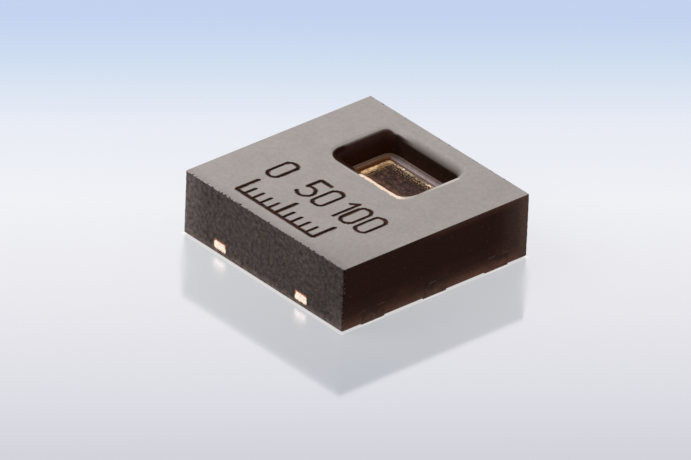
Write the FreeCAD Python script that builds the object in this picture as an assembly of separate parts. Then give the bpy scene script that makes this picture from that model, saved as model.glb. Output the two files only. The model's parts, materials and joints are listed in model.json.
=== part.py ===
import FreeCAD, Part
import math
import os

# Humidity sensor in a small moulded leadframe package, one solid group per node, in millimetres.
# The origin is the middle of the footprint, on the plane that the package is soldered to.
# X runs along the engraved scale, Y runs from the scale towards the window, Z is up.

# Moulded body
body_x = 3.00
body_y = 3.00
body_top = 0.900
standoff = 0.025
top_edge_bevel = 0.008

# Leadframe, etched from one copper sheet
frame_thickness = 0.200
etch_depth = 0.057
finish_thickness = 0.010
finish_inset = 0.004

# Terminals, counted round the package from the front end of the +X side
terminals_per_side = 3
terminal_pitch = 1.000
terminal_width = 0.370
terminal_foot = 0.400
terminal_lock = 0.040
terminal_nose_radius = 0.060

# Paddle under the die
paddle_gap = 0.130
paddle_offset_x = -0.050
paddle_rim = 0.130
tie_bar_length = 0.170
tie_bar_width = 0.230
pad_chamfer = 0.200

# Silver spots that the wires are stitched to
spot_thickness = 0.004
spot_length = 0.260
spot_inset = 0.025
spot_corner_radius = 0.030

# Die, in layers
attach_thickness = 0.020
attach_bleed = 0.030
die_margin_x = 0.090
die_margin_back = 0.060
die_margin_front = 0.400
die_thickness = 0.270
circuit_thickness = 0.006
passivation_thickness = 0.004
saw_street = 0.020

# Window in the body, measured from the die's edges
window_margin_left = 0.090
window_margin_right = 0.150
window_margin_back = 0.070
window_y = 0.940
window_corner_radius = 0.140
window_rim_radius = 0.120

# Frame that keeps the moulding compound off the sensing area
dam_height = 0.050
dam_ledge = 0.060
dam_cover = 0.040

# Sensing stack
ring_gap = 0.030
ring_width = 0.090
ring_thickness = 0.005
electrode_thickness = 0.001
lower_electrode_inset = 0.040
lower_electrode_gap = 0.040
film_thickness = 0.004
upper_electrode_inset = 0.012

# Heater loop
heater_runs = 6
heater_track_width = 0.030
heater_thickness = 0.002
heater_inset = 0.050

# Bond pads, wires, balls and stitches
bond_pad_side = 0.080
bond_pad_thickness = 0.003
bond_pad_inset = 0.090
bond_pad_from_dam = 0.200
bond_pad_from_front = 0.160
wire_diameter = 0.025
loop_rise = 0.040
loop_bend_radius = 0.060
ball_diameter = 0.062
ball_height = 0.018
ball_rounding = 0.006
stitch_from_nose = 0.090
stitch_face = 0.034
stitch_width = 0.040
stitch_taper = 0.050
stitch_tail = 0.025
stitch_tail_thickness = 0.007

# Engraved scale
mark_depth = 0.012
mark_stroke = 0.040
scale_margin_left = 0.720
scale_margin_right = 0.840
scale_margin_front = 0.210
scale_divisions = 10
divisions_per_long_tick = 5
long_tick = 0.360
short_tick = 0.190
numeral_gap = 0.170
numeral_height = 0.430
numeral_width = 0.190
numeral_spacing = 0.085
numeral_corner_radius = 0.085
numeral_one_flag = 0.080
numeral_five_bowl_radius = 0.118
numeral_five_start = -140.0
numeral_five_end = 130.0
numerals = ("0", "50", "100")

# Small limits and working overlaps
smallest_radius = 0.010
cut_overshoot = 0.050
edge_search_margin = 0.020
half_turn = 180.0

# Levels
frame_bottom = finish_thickness
frame_top = frame_bottom + frame_thickness
etched_bottom = frame_bottom + etch_depth
spot_top = frame_top + spot_thickness
die_bottom = frame_top + attach_thickness
silicon_top = die_bottom + die_thickness
circuit_top = silicon_top + circuit_thickness
die_top = circuit_top + passivation_thickness
bond_pad_top = circuit_top + bond_pad_thickness
film_top = die_top + film_thickness

# Places along X
right_side = body_x / 2
terminal_foot_inner = right_side - terminal_foot
terminal_nose = terminal_foot_inner - terminal_lock
paddle_half_x = terminal_nose - paddle_gap - abs(paddle_offset_x)
paddle_left = paddle_offset_x - paddle_half_x
paddle_right = paddle_offset_x + paddle_half_x
die_left = paddle_left + die_margin_x
die_right = paddle_right - die_margin_x
window_left = die_left + window_margin_left
window_right = die_right - window_margin_right

# Places along Y
back_side = body_y / 2
paddle_back = back_side - tie_bar_length
paddle_front = -paddle_back
die_back = paddle_back - die_margin_back
die_front = paddle_front + die_margin_front
window_back = die_back - window_margin_back
window_front = window_back - window_y


def block(x0, x1, y0, y1, z0, z1):
    return Part.makeBox(x1 - x0, y1 - y0, z1 - z0, FreeCAD.Vector(x0, y0, z0))


def prism(outline, z0, z1):
    """Upright solid from a closed list of edges drawn at height zero."""
    face = Part.Face(Part.Wire(outline))
    face.translate(FreeCAD.Vector(0, 0, z0))
    return face.extrude(FreeCAD.Vector(0, 0, z1 - z0))


def arc(centre_x, centre_y, radius, start, end):
    """Arc in the plane at height zero, between two angles in degrees."""
    points = []
    for angle in (start, (start + end) / 2, end):
        turn = math.radians(angle)
        x = centre_x + radius * math.cos(turn)
        y = centre_y + radius * math.sin(turn)
        points.append(FreeCAD.Vector(x, y, 0))
    return Part.Arc(*points).toShape()


def segment(x0, y0, x1, y1):
    return Part.LineSegment(FreeCAD.Vector(x0, y0, 0), FreeCAD.Vector(x1, y1, 0)).toShape()


def rounded_block(x0, x1, y0, y1, z0, z1, radius):
    """Block with its four upright edges rounded."""
    outline = [
        segment(x0 + radius, y0, x1 - radius, y0),
        arc(x1 - radius, y0 + radius, radius, -90, 0),
        segment(x1, y0 + radius, x1, y1 - radius),
        arc(x1 - radius, y1 - radius, radius, 0, 90),
        segment(x1 - radius, y1, x0 + radius, y1),
        arc(x0 + radius, y1 - radius, radius, 90, 180),
        segment(x0, y1 - radius, x0, y0 + radius),
        arc(x0 + radius, y0 + radius, radius, 180, 270),
    ]
    return prism(outline, z0, z1)


def frame_of(outer_grow, inner_grow, z0, z1):
    """Upright ring that follows the window's outline, grown by two distances from its walls."""
    sides = []
    for grow in (outer_grow, inner_grow):
        sides.append(window_block(grow, z0, z1))
    return sides[0].cut(sides[1])


def window_block(grow, z0, z1):
    """Block with the window's outline, grown by a distance, or shrunk where it is negative."""
    radius = max(window_corner_radius + grow, smallest_radius)
    return rounded_block(
        window_left - grow, window_right + grow, window_front - grow, window_back + grow, z0, z1, radius
    )


def joined(solids):
    """One solid from several that touch or overlap."""
    first = solids[0]
    if len(solids) == 1:
        return first
    return first.fuse(solids[1:]).removeSplitter()


# Leadframe


def paddle():
    """Copper plate with an etched rim, four tie bars and a chamfered corner on its exposed pad."""
    plate = block(paddle_left, paddle_right, paddle_front, paddle_back, etched_bottom, frame_top)
    pieces = [plate, pad_block(0, frame_bottom, etched_bottom)]
    for x0, x1 in ((paddle_left, paddle_left + tie_bar_width), (paddle_right - tie_bar_width, paddle_right)):
        pieces.append(block(x0, x1, -back_side, paddle_front, etched_bottom, frame_top))
        pieces.append(block(x0, x1, paddle_back, back_side, etched_bottom, frame_top))
    return joined(pieces)


def pad_block(inset, z0, z1):
    """The exposed pad's outline, with the corner next to the first terminal cut off."""
    x0 = paddle_left + paddle_rim + inset
    x1 = paddle_right - paddle_rim - inset
    y0 = paddle_front + paddle_rim + inset
    y1 = paddle_back - paddle_rim - inset
    corner = (x1 - pad_chamfer, y0), (x1, y0 + pad_chamfer)
    points = [(x0, y0), *corner, (x1, y1), (x0, y1)]
    outline = []
    for i, point in enumerate(points):
        outline.append(segment(*point, *points[(i + 1) % len(points)]))
    return prism(outline, z0, z1)


def terminal_places():
    """Side of the package and Y of each terminal, counted round from the front end of the +X side."""
    rows = []
    for i in range(terminals_per_side):
        rows.append((i - (terminals_per_side - 1) / 2) * terminal_pitch)
    return [(1, y) for y in rows] + [(-1, y) for y in reversed(rows)]


def on_side(shape, side):
    """A shape drawn for the +X side, turned to the side that it belongs to."""
    if side < 0:
        shape.rotate(FreeCAD.Vector(0, 0, 0), FreeCAD.Vector(0, 0, 1), half_turn)
    return shape


def nosed_block(nose, tail, half_width, radius, z0, z1):
    """Block along X whose two inner corners are rounded."""
    outline = [
        segment(tail, -half_width, tail, half_width),
        segment(tail, half_width, nose + radius, half_width),
        arc(nose + radius, half_width - radius, radius, 90, 180),
        segment(nose, half_width - radius, nose, radius - half_width),
        arc(nose + radius, radius - half_width, radius, 180, 270),
        segment(nose + radius, -half_width, tail, -half_width),
    ]
    return prism(outline, z0, z1)


def terminal(side, y):
    """Copper terminal: a foot on the underside and a thinner nose that locks it in the body."""
    half_width = terminal_width / 2
    radius = min(terminal_nose_radius, half_width - smallest_radius)
    upper = nosed_block(terminal_nose, right_side, half_width, radius, etched_bottom, frame_top)
    foot = nosed_block(terminal_foot_inner, right_side, half_width, radius, frame_bottom, etched_bottom)
    shape = on_side(joined([upper, foot]), side)
    shape.translate(FreeCAD.Vector(0, y, 0))
    return shape


def terminal_finish():
    """Solder finish under each terminal's foot."""
    solids = []
    half_width = terminal_width / 2 - finish_inset
    radius = min(terminal_nose_radius, half_width - smallest_radius)
    nose = terminal_foot_inner + finish_inset
    for side, y in terminal_places():
        coat = nosed_block(nose, right_side, half_width, radius, 0, finish_thickness)
        shape = on_side(coat, side)
        shape.translate(FreeCAD.Vector(0, y, 0))
        solids.append(shape)
    return Part.makeCompound(solids)


def paddle_finish():
    return pad_block(finish_inset, 0, finish_thickness)


def bond_spots():
    """Silver spots on the inner ends of the terminals."""
    solids = []
    half_width = terminal_width / 2 - spot_inset
    nose = terminal_nose + spot_inset
    radius = min(spot_corner_radius, half_width - smallest_radius)
    for side, y in terminal_places():
        spot = nosed_block(nose, nose + spot_length, half_width, radius, frame_top, spot_top)
        shape = on_side(spot, side)
        shape.translate(FreeCAD.Vector(0, y, 0))
        solids.append(shape)
    return Part.makeCompound(solids)


# Die


def die_block(inset, z0, z1):
    return block(die_left + inset, die_right - inset, die_front + inset, die_back - inset, z0, z1)


def die_attach():
    """Adhesive that bleeds a little past the die's edges."""
    return die_block(-attach_bleed, frame_top, die_bottom)


def sensor_die():
    return die_block(0, die_bottom, silicon_top)


def heater_track():
    """Heater loop: parallel runs joined end to end, sunk flush in the circuit layer."""
    x0 = window_left + heater_inset
    x1 = window_right - heater_inset
    y0 = window_front + heater_inset
    y1 = window_back - heater_inset
    z0 = circuit_top - heater_thickness
    step = (y1 - y0 - heater_track_width) / (heater_runs - 1)
    pieces = []
    for i in range(heater_runs):
        low = y0 + i * step
        high = low + heater_track_width
        pieces.append(block(x0, x1, low, high, z0, circuit_top))
        if i:
            end = x1 if i % 2 else x0 + heater_track_width
            pieces.append(block(end - heater_track_width, end, low - step, high, z0, circuit_top))
    return joined(pieces)


def circuit_layer(heater):
    return die_block(saw_street, silicon_top, circuit_top).cut(heater)


def bond_pad_places():
    """Bond pad centre and terminal for each wire: two on each side of the die."""
    places = terminal_places()
    first, second = places[0], places[1]
    fifth, sixth = places[-2], places[-1]
    rear = window_front - dam_cover - bond_pad_from_dam
    front = die_front + bond_pad_from_front
    right = die_right - bond_pad_inset
    left = die_left + bond_pad_inset
    return {
        "data": ((right, front), first),
        "ground": ((right, rear), second),
        "supply": ((left, rear), fifth),
        "clock": ((left, front), sixth),
    }


def bond_pads(z_top):
    """Aluminium pads in the openings of the top coat."""
    half = bond_pad_side / 2
    solids = []
    for (x, y), _ in bond_pad_places().values():
        solids.append(block(x - half, x + half, y - half, y + half, circuit_top, z_top))
    return Part.makeCompound(solids)


def passivation():
    """Top coat of the die, open over the bond pads."""
    return die_block(saw_street, circuit_top, die_top).cut(bond_pads(die_top))


# Sensing area


def dam_frame():
    return frame_of(dam_cover, -dam_ledge, die_top, die_top + dam_height)


ring_outer = -dam_ledge - ring_gap
ring_inner = ring_outer - ring_width


def guard_ring():
    return frame_of(ring_outer, ring_inner, die_top, die_top + ring_thickness)


def lower_electrodes():
    """Two plates side by side, bridged by the layer above them."""
    plate = window_block(ring_inner - lower_electrode_inset, die_top, die_top + electrode_thickness)
    middle = (window_left + window_right) / 2
    half_gap = lower_electrode_gap / 2
    slot = block(middle - half_gap, middle + half_gap, window_front, window_back, die_top, film_top)
    return plate.cut(slot)


def humidity_film(plates):
    """Polymer that takes up water, over the plates and up to the ring."""
    return window_block(ring_inner, die_top, film_top).cut(plates)


def upper_electrode():
    return window_block(ring_inner - upper_electrode_inset, film_top, film_top + electrode_thickness)


# Wires


class WireRun:
    """One wire from its ball on the die to its stitch on a terminal, worked out in its own upright plane."""

    def __init__(self, pad, place):
        side, terminal_y = place
        self.start = FreeCAD.Vector(pad[0], pad[1], bond_pad_top + ball_height)
        end = FreeCAD.Vector(side * (terminal_nose + stitch_from_nose), terminal_y, 0)
        flat = FreeCAD.Vector(end.x - pad[0], end.y - pad[1], 0)
        self.reach = flat.Length
        self.along = flat.normalize()
        self.end_height = spot_top + stitch_face / 2 + stitch_tail_thickness / 2
        self.bend_height = self.start.z + loop_rise
        drop = self.bend_height - self.end_height
        run = self.reach - loop_bend_radius
        straight = math.sqrt(run**2 + drop**2 - loop_bend_radius**2)
        self.fall = math.atan2(drop, run) + math.atan2(loop_bend_radius, straight)

    def point(self, distance, height):
        """Point in the wire's plane, at a distance from the ball and a height above the solder plane."""
        flat = FreeCAD.Vector(self.start.x, self.start.y, height)
        return flat + self.along * distance

    def bend_point(self, turn):
        distance = loop_bend_radius * (1 - math.cos(turn))
        return self.point(distance, self.bend_height + loop_bend_radius * math.sin(turn))

    def wire(self):
        """Up from the ball, round the bend and straight down to the stitch."""
        turn = math.pi / 2 + self.fall
        bend_start = self.bend_point(0)
        bend_end = self.bend_point(turn)
        path = Part.Wire(
            [
                Part.LineSegment(self.start, bend_start).toShape(),
                Part.Arc(bend_start, self.bend_point(turn / 2), bend_end).toShape(),
                Part.LineSegment(bend_end, self.point(self.reach, self.end_height)).toShape(),
            ]
        )
        section = Part.Wire(Part.makeCircle(wire_diameter / 2, self.start, FreeCAD.Vector(0, 0, 1)))
        return path.makePipeShell([section], True, False)

    def ball(self):
        """Squashed ball on the bond pad, with a small shoulder at its top."""
        base = FreeCAD.Vector(self.start.x, self.start.y, bond_pad_top)
        disc = Part.makeCylinder(ball_diameter / 2, ball_height, base)
        rims = [edge for edge in disc.Edges if edge.Closed]
        return disc.makeFillet(min(ball_rounding, ball_height / 3), rims)

    def stitch(self):
        """Wedge that the wire's end is squashed into, square to the wire and tapering to a tail."""
        lean_out = stitch_face / 2 * math.sin(self.fall)
        lean_up = stitch_face / 2 * math.cos(self.fall)
        front = self.reach - lean_out
        tip = self.reach + lean_out
        corners = [
            (front, spot_top),
            (front, self.end_height - lean_up),
            (tip, self.end_height + lean_up),
            (tip + stitch_taper, spot_top + stitch_tail_thickness),
            (tip + stitch_taper + stitch_tail, spot_top + stitch_tail_thickness),
            (tip + stitch_taper + stitch_tail, spot_top),
        ]
        points = [self.point(*corner) for corner in corners]
        across = FreeCAD.Vector(-self.along.y, self.along.x, 0) * (stitch_width / 2)
        face = Part.Face(Part.makePolygon([point - across for point in [*points, points[0]]]))
        return face.extrude(across * 2)


# Body


def stroke(x0, y0, x1, y1):
    """Straight engraved stroke with round ends."""
    half = mark_stroke / 2
    length = math.hypot(x1 - x0, y1 - y0)
    outline = [
        segment(0, -half, length, -half),
        arc(length, 0, half, -90, 90),
        segment(length, half, 0, half),
        arc(0, 0, half, 90, 270),
    ]
    shape = prism(outline, body_top - mark_depth, body_top + cut_overshoot)
    shape.rotate(FreeCAD.Vector(0, 0, 0), FreeCAD.Vector(0, 0, 1), math.degrees(math.atan2(y1 - y0, x1 - x0)))
    shape.translate(FreeCAD.Vector(x0, y0, 0))
    return shape


def bowl(centre_x, centre_y, radius, start, end):
    """Curved engraved stroke with round ends, anticlockwise between two angles in degrees."""
    half = mark_stroke / 2
    caps = []
    for angle, cap_start in ((end, end), (start, start + half_turn)):
        turn = math.radians(angle)
        x = centre_x + radius * math.cos(turn)
        y = centre_y + radius * math.sin(turn)
        caps.append(arc(x, y, half, cap_start, cap_start + half_turn))
    outline = [
        arc(centre_x, centre_y, radius + half, start, end),
        caps[0],
        arc(centre_x, centre_y, radius - half, end, start),
        caps[1],
    ]
    return prism(outline, body_top - mark_depth, body_top + cut_overshoot)


def numeral_zero(x, y):
    """Upright loop with straight flanks."""
    loops = []
    for grow in (mark_stroke / 2, -mark_stroke / 2):
        loops.append(
            rounded_block(
                x - grow,
                x + numeral_width + grow,
                y - grow,
                y + numeral_height + grow,
                body_top - mark_depth,
                body_top + cut_overshoot,
                numeral_corner_radius + grow,
            )
        )
    return [loops[0].cut(loops[1])]


def numeral_one(x, y):
    stem = x + numeral_one_flag
    top = y + numeral_height
    return [stroke(stem, y, stem, top), stroke(x, top - numeral_one_flag, stem, top)]


def numeral_five(x, y):
    """Bar, short upright and a bowl."""
    top = y + numeral_height
    radius = numeral_five_bowl_radius
    centre_x = x + numeral_width - radius
    centre_y = y + radius
    turn = math.radians(numeral_five_end)
    shoulder_x = centre_x + radius * math.cos(turn)
    shoulder_y = centre_y + radius * math.sin(turn)
    return [
        stroke(shoulder_x, top, x + numeral_width, top),
        stroke(shoulder_x, shoulder_y, shoulder_x, top),
        bowl(centre_x, centre_y, radius, numeral_five_start, numeral_five_end),
    ]


def numeral_advance(character):
    return numeral_one_flag if character == "1" else numeral_width


def numeral_strokes(text, centre_x, y):
    """Numerals of one number, side by side and centred on its tick."""
    makers = {"0": numeral_zero, "1": numeral_one, "5": numeral_five}
    width = sum(numeral_advance(c) for c in text) + numeral_spacing * (len(text) - 1)
    x = centre_x - width / 2
    solids = []
    for character in text:
        solids.extend(makers[character](x, y))
        x += numeral_advance(character) + numeral_spacing
    return solids


def scale_strokes():
    """Base line, ticks and numbers of the plain scale."""
    left = -right_side + scale_margin_left
    right = right_side - scale_margin_right
    base = -back_side + scale_margin_front
    solids = [stroke(left, base, right, base)]
    for i in range(scale_divisions + 1):
        x = left + (right - left) * i / scale_divisions
        height = short_tick if i % divisions_per_long_tick else long_tick
        solids.append(stroke(x, base, x, base + height))
    for i, text in enumerate(numerals):
        x = left + (right - left) * i / (len(numerals) - 1)
        solids.extend(numeral_strokes(text, x, base + long_tick + numeral_gap))
    return solids


def is_rim(edge):
    """True for the edges where the window meets the top."""
    box = edge.BoundBox
    level = min(box.ZMin, box.ZMax) > body_top - window_rim_radius / 2
    margin = edge_search_margin
    inside_x = box.XMin > window_left - margin and box.XMax < window_right + margin
    inside_y = box.YMin > window_front - margin and box.YMax < window_back + margin
    return level and inside_x and inside_y


def is_top_edge(edge):
    """True for the four edges round the top."""
    box = edge.BoundBox
    level = min(box.ZMin, box.ZMax) > body_top - top_edge_bevel
    on_x = abs(box.XMin) > right_side - top_edge_bevel and abs(box.XMax) > right_side - top_edge_bevel
    on_y = abs(box.YMin) > back_side - top_edge_bevel and abs(box.YMax) > back_side - top_edge_bevel
    return level and (on_x or on_y)


def housing(inner_pieces):
    """Moulded body with its window and scale, shaped round everything that it holds."""
    body = block(-right_side, right_side, -back_side, back_side, standoff, body_top)
    body = body.cut(window_block(0, die_top, body_top + cut_overshoot))
    body = body.makeFillet(window_rim_radius, [edge for edge in body.Edges if is_rim(edge)])
    body = body.makeChamfer(top_edge_bevel, [edge for edge in body.Edges if is_top_edge(edge)])
    for mark in scale_strokes():
        body = body.cut(mark)
    return body.cut(inner_pieces)


def build():
    nodes = {}
    nodes["die_paddle"] = paddle()
    nodes["paddle_finish"] = paddle_finish()
    names = [
        "data_terminal",
        "ground_terminal",
        "spare_terminal_right",
        "spare_terminal_left",
        "supply_terminal",
        "clock_terminal",
    ]
    for name, (side, y) in zip(names, terminal_places()):
        nodes[name] = terminal(side, y)
    nodes["terminal_finish"] = terminal_finish()
    nodes["bond_spots"] = bond_spots()

    nodes["die_attach"] = die_attach()
    nodes["sensor_die"] = sensor_die()
    nodes["heater_track"] = heater_track()
    nodes["circuit_layer"] = circuit_layer(nodes["heater_track"])
    nodes["bond_pads"] = bond_pads(bond_pad_top)
    nodes["passivation"] = passivation()

    nodes["dam_frame"] = dam_frame()
    nodes["guard_ring"] = guard_ring()
    nodes["lower_electrodes"] = lower_electrodes()
    nodes["humidity_film"] = humidity_film(nodes["lower_electrodes"])
    nodes["upper_electrode"] = upper_electrode()

    runs = {}
    for name, (pad, place) in bond_pad_places().items():
        runs[name] = WireRun(pad, place)
        nodes[name + "_wire"] = runs[name].wire()
    nodes["ball_bonds"] = Part.makeCompound([run.ball() for run in runs.values()])
    nodes["stitch_bonds"] = Part.makeCompound([run.stitch() for run in runs.values()])

    solids = []
    for shape in nodes.values():
        solids.extend(shape.Solids)
    nodes["housing"] = housing(solids)
    return nodes


os.makedirs("parts", exist_ok=True)
for node, shape in build().items():
    shape.exportStep(f"parts/{node}.step")
    print(node, len(shape.Solids), "solid(s)", shape.isValid(), round(shape.Volume, 6), "mm3")
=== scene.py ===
import json
import math

import bmesh
import bpy
from mathutils import Matrix, Vector, noise


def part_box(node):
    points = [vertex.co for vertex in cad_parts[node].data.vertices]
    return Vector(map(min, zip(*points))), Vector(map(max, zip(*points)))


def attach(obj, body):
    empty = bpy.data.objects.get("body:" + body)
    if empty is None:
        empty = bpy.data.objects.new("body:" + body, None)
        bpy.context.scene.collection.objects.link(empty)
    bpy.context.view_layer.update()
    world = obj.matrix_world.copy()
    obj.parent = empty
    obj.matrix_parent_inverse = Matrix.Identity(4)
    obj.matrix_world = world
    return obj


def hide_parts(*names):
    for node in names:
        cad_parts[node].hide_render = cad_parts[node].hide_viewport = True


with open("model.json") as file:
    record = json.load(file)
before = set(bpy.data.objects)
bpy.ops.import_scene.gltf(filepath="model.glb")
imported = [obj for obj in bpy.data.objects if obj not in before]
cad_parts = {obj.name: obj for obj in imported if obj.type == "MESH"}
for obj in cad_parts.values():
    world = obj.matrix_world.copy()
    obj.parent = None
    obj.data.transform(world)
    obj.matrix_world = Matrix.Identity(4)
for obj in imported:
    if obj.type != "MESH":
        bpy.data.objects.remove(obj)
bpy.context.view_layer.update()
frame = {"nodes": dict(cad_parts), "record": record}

MM = 0.001

# Camera, from the corners of the object in the picture
IMAGE_WIDTH = 691
IMAGE_HEIGHT = 460
AZIMUTH = 48.22
ELEVATION = 30.90
ROLL = 2.33
PIXELS_PER_MM = 81.26
CENTRE_PIXEL = (356.38, 213.50)
LENS = 800.0
SENSOR = 36.0

# Levels and sizes of the CAD model, in millimetres
BODY_HALF = 1.5
BODY_TOP = 0.9
BODY_BOTTOM = 0.025
WINDOW_LEFT = -0.750
WINDOW_RIGHT = 0.590
WINDOW_FRONT = 0.260
WINDOW_BACK = 1.200
WINDOW_RADIUS = 0.140
DIE_TOP = 0.510
ETCHED_BOTTOM = 0.075
DAM_COVER = 0.040
RING_TOP = 0.515

# Light: the world's level and how it looks, and the key lamp's direction, distance, side and level
WORLD_LIGHT = 0.55
WORLD_SEEN = (0.93, 0.95, 0.98)
KEY_DIRECTION = Vector((-0.60, -0.62, 0.75)).normalized()
KEY_DISTANCE = 70
KEY_SIDE = 45
KEY_LEVEL = 0.62


def mm(*values):
    """Point or size in metres from millimetres."""
    return Vector(values) * MM


# Camera


def camera_axes():
    """Right, up and back directions of the camera."""
    a = math.radians(AZIMUTH)
    e = math.radians(ELEVATION)
    back = Vector((math.sin(a) * math.cos(e), -math.cos(a) * math.cos(e), math.sin(e)))
    level = Vector((math.cos(a), math.sin(a), 0))
    upright = back.cross(level)
    c = math.cos(math.radians(ROLL))
    s = math.sin(math.radians(ROLL))
    return c * level + s * upright, c * upright - s * level, back


def make_camera():
    """Long lens at the picture's viewing angle. Gives the camera's up direction."""
    right, up, back = camera_axes()
    data = bpy.data.cameras.new("camera")
    data.lens = LENS
    data.sensor_width = SENSOR
    distance = LENS / SENSOR * IMAGE_WIDTH / PIXELS_PER_MM * MM
    data.clip_start = distance / 100
    data.clip_end = distance * 20
    camera = bpy.data.objects.new("camera", data)
    bpy.context.scene.collection.objects.link(camera)
    aside = (CENTRE_PIXEL[0] - IMAGE_WIDTH / 2) / PIXELS_PER_MM * MM
    above = (IMAGE_HEIGHT / 2 - CENTRE_PIXEL[1]) / PIXELS_PER_MM * MM
    centre = mm(0, 0, BODY_TOP / 2)
    place = centre + back * distance - right * aside - up * above
    turn = Matrix((right, up, back)).transposed().to_4x4()
    camera.matrix_world = Matrix.Translation(place) @ turn
    bpy.context.scene.camera = camera
    return up


up_axis = make_camera()
scene = bpy.context.scene
scene.view_settings.view_transform = "Standard"


# Materials


class Look:
    """One material, with short calls for the nodes that it is built from. Sizes are in millimetres."""

    def __init__(self, name, **settings):
        self.material = bpy.data.materials.new(name)
        self.material.use_nodes = True
        self.tree = self.material.node_tree
        self.shader = self.tree.nodes["Principled BSDF"]
        coordinates = self.node("ShaderNodeTexCoord")
        self.place = coordinates.outputs["Object"]
        self.normal = coordinates.outputs["Normal"]
        for name, value in settings.items():
            self.shader.inputs[name.replace("_", " ")].default_value = value

    def node(self, kind, **properties):
        made = self.tree.nodes.new(kind)
        for name, value in properties.items():
            setattr(made, name, value)
        return made

    def feed(self, socket, value):
        """Sets a socket to a number or colour, or links it to another node's output."""
        if isinstance(value, bpy.types.NodeSocket):
            self.tree.links.new(value, socket)
        elif hasattr(value, "__len__") and len(value) == 3 and socket.type == "RGBA":
            socket.default_value = (*value, 1)
        else:
            socket.default_value = value

    def noise(self, size, detail=3.0, roughness=0.55, stretch=None):
        """Noise from 0 to 1 with grains of the given size."""
        source = self.place
        if stretch:
            mapping = self.node("ShaderNodeMapping")
            mapping.inputs["Scale"].default_value = stretch
            self.feed(mapping.inputs["Vector"], self.place)
            source = mapping.outputs["Vector"]
        made = self.node("ShaderNodeTexNoise")
        self.feed(made.inputs["Vector"], source)
        made.inputs["Scale"].default_value = 1 / (size * MM)
        made.inputs["Detail"].default_value = detail
        made.inputs["Roughness"].default_value = roughness
        return made.outputs["Fac"]

    def cells(self, size, output="Distance"):
        """Cells of the given size: how far a point is from its cell's middle, or a colour for each cell."""
        made = self.node("ShaderNodeTexVoronoi")
        self.feed(made.inputs["Vector"], self.place)
        made.inputs["Scale"].default_value = 1 / (size * MM)
        return made.outputs[output]

    def range(self, value, low, high, to_low=0.0, to_high=1.0, smooth=True):
        """Value taken from one range to another and held inside it."""
        made = self.node("ShaderNodeMapRange")
        made.interpolation_type = "SMOOTHSTEP" if smooth else "LINEAR"
        self.feed(made.inputs["Value"], value)
        made.inputs["From Min"].default_value = low
        made.inputs["From Max"].default_value = high
        made.inputs["To Min"].default_value = to_low
        made.inputs["To Max"].default_value = to_high
        return made.outputs["Result"]

    def maths(self, operation, a, b=0.0):
        made = self.node("ShaderNodeMath", operation=operation)
        self.feed(made.inputs[0], a)
        self.feed(made.inputs[1], b)
        return made.outputs["Value"]

    def plus(self, a, b):
        return self.maths("ADD", a, b)

    def minus(self, a, b):
        return self.maths("SUBTRACT", a, b)

    def rest(self, share):
        """What a share leaves of 1."""
        return self.minus(1.0, share)

    def product(self, *values):
        total = values[0]
        for value in values[1:]:
            total = self.maths("MULTIPLY", total, value)
        return total

    def size_of(self, value):
        return self.maths("ABSOLUTE", value)

    def larger(self, a, b):
        return self.maths("MAXIMUM", a, b)

    def beyond(self, a, b):
        """Distance of a point from a corner that it lies past by a one way and by b across it."""
        a = self.larger(a, 0.0)
        b = self.larger(b, 0.0)
        return self.maths("SQRT", self.plus(self.product(a, a), self.product(b, b)))

    def parts(self, vector):
        made = self.node("ShaderNodeSeparateXYZ")
        self.feed(made.inputs[0], vector)
        return made.outputs["X"], made.outputs["Y"], made.outputs["Z"]

    def place_parts(self):
        """The point's x, y and z in millimetres."""
        made = self.node("ShaderNodeVectorMath", operation="SCALE")
        self.feed(made.inputs[0], self.place)
        made.inputs["Scale"].default_value = 1 / MM
        return self.parts(made.outputs["Vector"])

    def mix(self, share, a, b):
        """Colour a, turning into b as the share goes from 0 to 1."""
        made = self.node("ShaderNodeMix", data_type="RGBA")
        self.feed(made.inputs[0], share)
        self.feed(made.inputs[6], a)
        self.feed(made.inputs[7], b)
        return made.outputs[2]

    def scaled(self, colour, value):
        """A colour made lighter or darker by a number, 1 leaving it as it is."""
        made = self.node("ShaderNodeVectorMath", operation="SCALE")
        if isinstance(colour, bpy.types.NodeSocket):
            self.feed(made.inputs[0], colour)
        else:
            made.inputs[0].default_value = colour[:3]
        self.feed(made.inputs["Scale"], value)
        return made.outputs["Vector"]

    def ramp(self, value, stops):
        """Colour or grey level from a list of (position, colour) stops."""
        made = self.node("ShaderNodeValToRGB")
        elements = made.color_ramp.elements
        while len(elements) < len(stops):
            elements.new(1.0)
        for element, (position, colour) in zip(elements, stops):
            element.position = position
            level = (colour,) * 3 if isinstance(colour, (int, float)) else colour
            element.color = (*level, 1)
        self.feed(made.inputs["Fac"], value)
        return made.outputs["Color"]

    def bump(self, height, depth, strength=1.0):
        """Bump whose full height is the given depth."""
        made = self.node("ShaderNodeBump")
        made.inputs["Strength"].default_value = strength
        made.inputs["Distance"].default_value = depth * MM
        self.feed(made.inputs["Height"], height)
        return made.outputs["Normal"]

    def set(self, **sockets):
        """Feeds the shader's sockets by name and gives the finished material."""
        for name, value in sockets.items():
            self.feed(self.shader.inputs[name.replace("_", " ")], value)
        return self.material


def srgb(*levels):
    """Linear colour from display levels between 0 and 255."""
    colour = []
    for level in levels:
        share = level / 255
        colour.append(share / 12.92 if share <= 0.04045 else ((share + 0.055) / 1.055) ** 2.4)
    return tuple(colour)


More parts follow.
